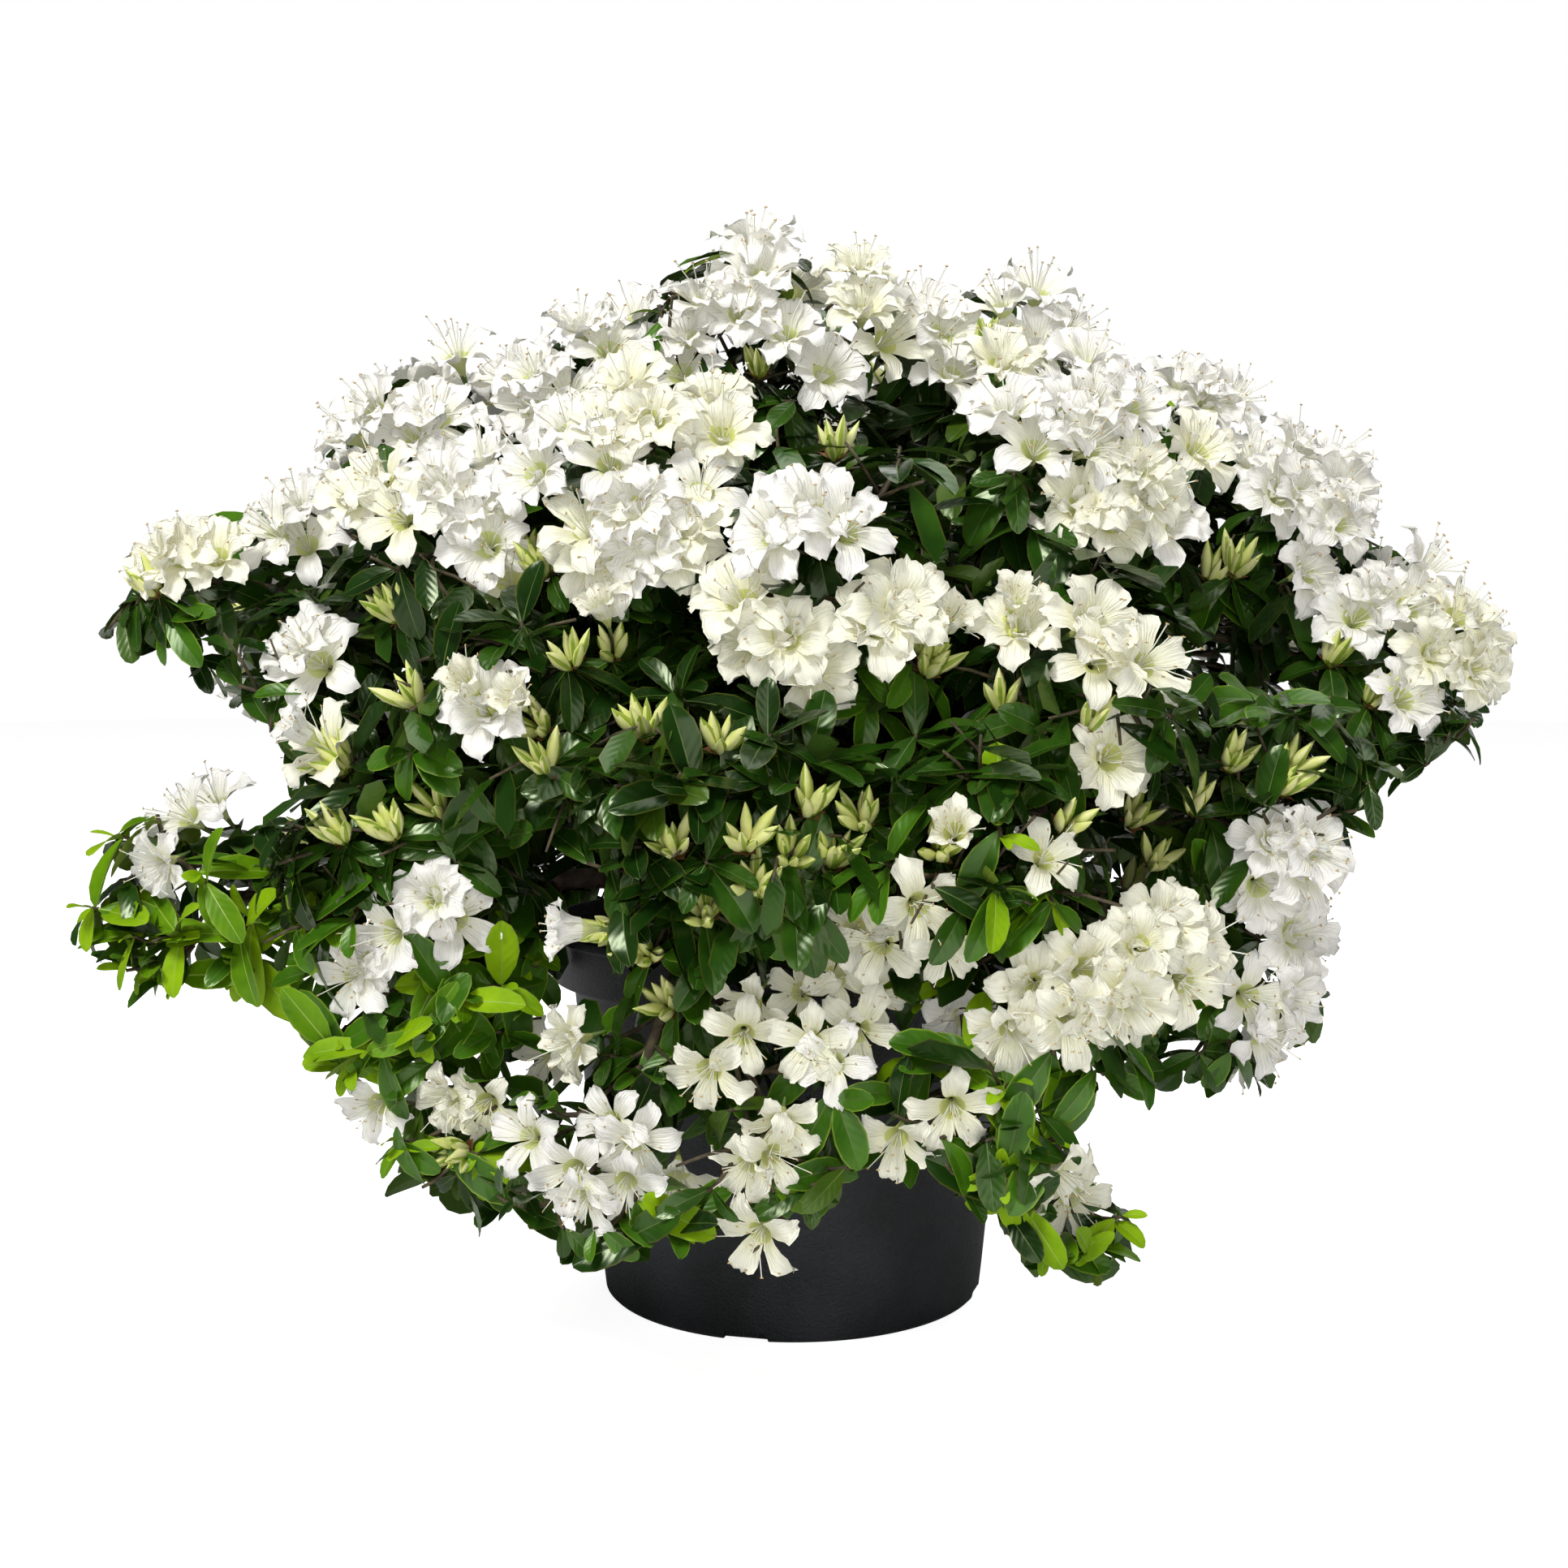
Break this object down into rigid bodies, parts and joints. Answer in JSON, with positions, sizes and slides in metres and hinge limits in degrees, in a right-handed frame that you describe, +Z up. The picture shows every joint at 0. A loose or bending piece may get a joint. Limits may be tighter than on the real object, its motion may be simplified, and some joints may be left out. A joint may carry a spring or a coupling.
{
  "type": "potted azalea shrub",
  "caption": "Low, wide evergreen shrub in full white bloom on a short branching trunk, standing in a round tapered nursery pot that it overhangs.",
  "frame": {"origin": "middle of the pot's flat underside, on the surface that the pot stands on", "axes": "+Z up along the pot's axis; -Y is the side that the picture shows, with +X to its right"},
  "size_m": [0.6458, 0.4651, 0.4901],
  "materials": {
    "pot_plastic": "charcoal moulded plastic, fine grain, satin",
    "compost": "crumbly bark and peat, matte",
    "bark": "fissured grey-brown bark, matte",
    "blossom": "white petals, soft, faintly translucent look",
    "leaf": "dark green, glossy",
    "fresh_leaf": "yellow-green, satin",
    "bud": "cream and yellow-green, satin"
  },
  "bodies": {
    "root": {"pot": "pot_plastic", "soil": "compost", "trunk": "bark", "bough_top": "bark", "bough_upper_left": "bark", "bough_upper_right": "bark", "bough_left": "bark", "bough_right": "bark", "bough_front_high": "bark", "bough_front_right": "bark", "bough_back_left": "bark", "bough_back_right": "bark", "bough_back": "bark", "bough_low_left": "bark", "bough_low_front_left": "bark", "bough_low_front_right": "bark", "bough_low_right": "bark", "crown_top": "blossom", "crown_top_right": "blossom", "crown_top_left": "blossom", "shoulder_left": "blossom", "arm_left": "blossom", "left_high": "bud", "shoulder_right": "blossom", "upper_right": "blossom", "arm_right": "bud", "left_mid": "bud", "left_inner": "leaf", "back_low_left": "bud", "right_mid": "leaf", "back_low_right": "bud", "front_left_high": "blossom", "front_high": "blossom", "front_left": "bud", "front_right": "bud", "front_right_high": "blossom", "back_top_left": "blossom", "back_left": "blossom", "back_mid_left": "bud", "back_top_right": "blossom", "back_right": "blossom", "back_mid_right": "bud", "back_mid": "blossom", "back_low_mid_left": "leaf", "back_low_mid_right": "bud", "spray_left": "bud", "low_left": "bud", "skirt_left": "fresh_leaf", "front_mid": "leaf", "skirt_front_left": "fresh_leaf", "skirt_front": "blossom", "front_right_mid": "leaf", "skirt_front_right": "fresh_leaf", "skirt_right": "fresh_leaf", "low_right": "blossom", "right_low": "blossom"}
  },
  "joints": []
}
